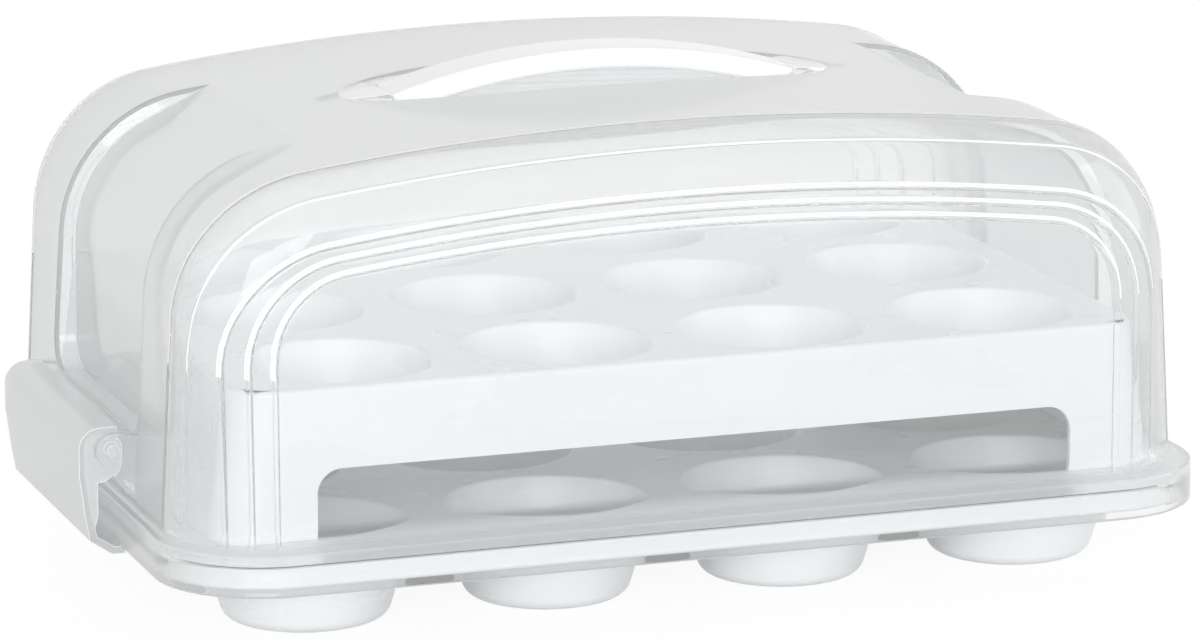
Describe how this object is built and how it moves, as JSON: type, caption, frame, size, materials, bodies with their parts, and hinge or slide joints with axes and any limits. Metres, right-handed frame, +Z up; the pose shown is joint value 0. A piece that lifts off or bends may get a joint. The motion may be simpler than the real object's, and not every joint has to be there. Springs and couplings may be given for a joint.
{
  "type": "cupcake carrier",
  "caption": "Two-tier cupcake carrier: cupped base tray and raised upper tray under a clear lift-off dome with a carrying handle and a hinged clip on each end.",
  "frame": {"origin": "centre of the footprint, on the flat bottoms of the base tray's cups, which stand on the table", "axes": "+X along the long side, towards the right-hand clip; +Y across the short side, away from the front; +Z up"},
  "size_m": [0.372, 0.2574, 0.1624],
  "materials": {
    "white_tray": "glossy injection moulding, slightly translucent white",
    "clear_dome": "clear, polished",
    "white_handle": "glossy white",
    "clear_clip": "frosted clear"
  },
  "bodies": {
    "base": {"base_tray": "white_tray"},
    "tier": {"upper_tray": "white_tray"},
    "dome": {"dome_lid": "clear_dome", "handle": "white_handle"},
    "left_clip": {"clip_left": "clear_clip"},
    "right_clip": {"clip_right": "clear_clip"}
  },
  "joints": [
    {"name": "dome_lift", "type": "slide", "parent": "base", "child": "dome", "axis": [0, 0, 1], "range_m": [0, 0.2]},
    {"name": "tier_lift", "type": "slide", "parent": "base", "child": "tier", "axis": [0, 0, 1], "range_m": [0, 0.1]},
    {"name": "left_clip_hinge", "type": "hinge", "parent": "dome", "child": "left_clip", "pos_m": [-0.176, 0, 0.0525], "axis": [0, 1, 0], "range_deg": [0, 100]},
    {"name": "right_clip_hinge", "type": "hinge", "parent": "dome", "child": "right_clip", "pos_m": [0.176, 0, 0.0525], "axis": [0, -1, 0], "range_deg": [0, 100]}
  ],
  "couplings": [
    {"joint": "tier_lift", "follows": "dome_lift", "ratio": 0.5}
  ]
}
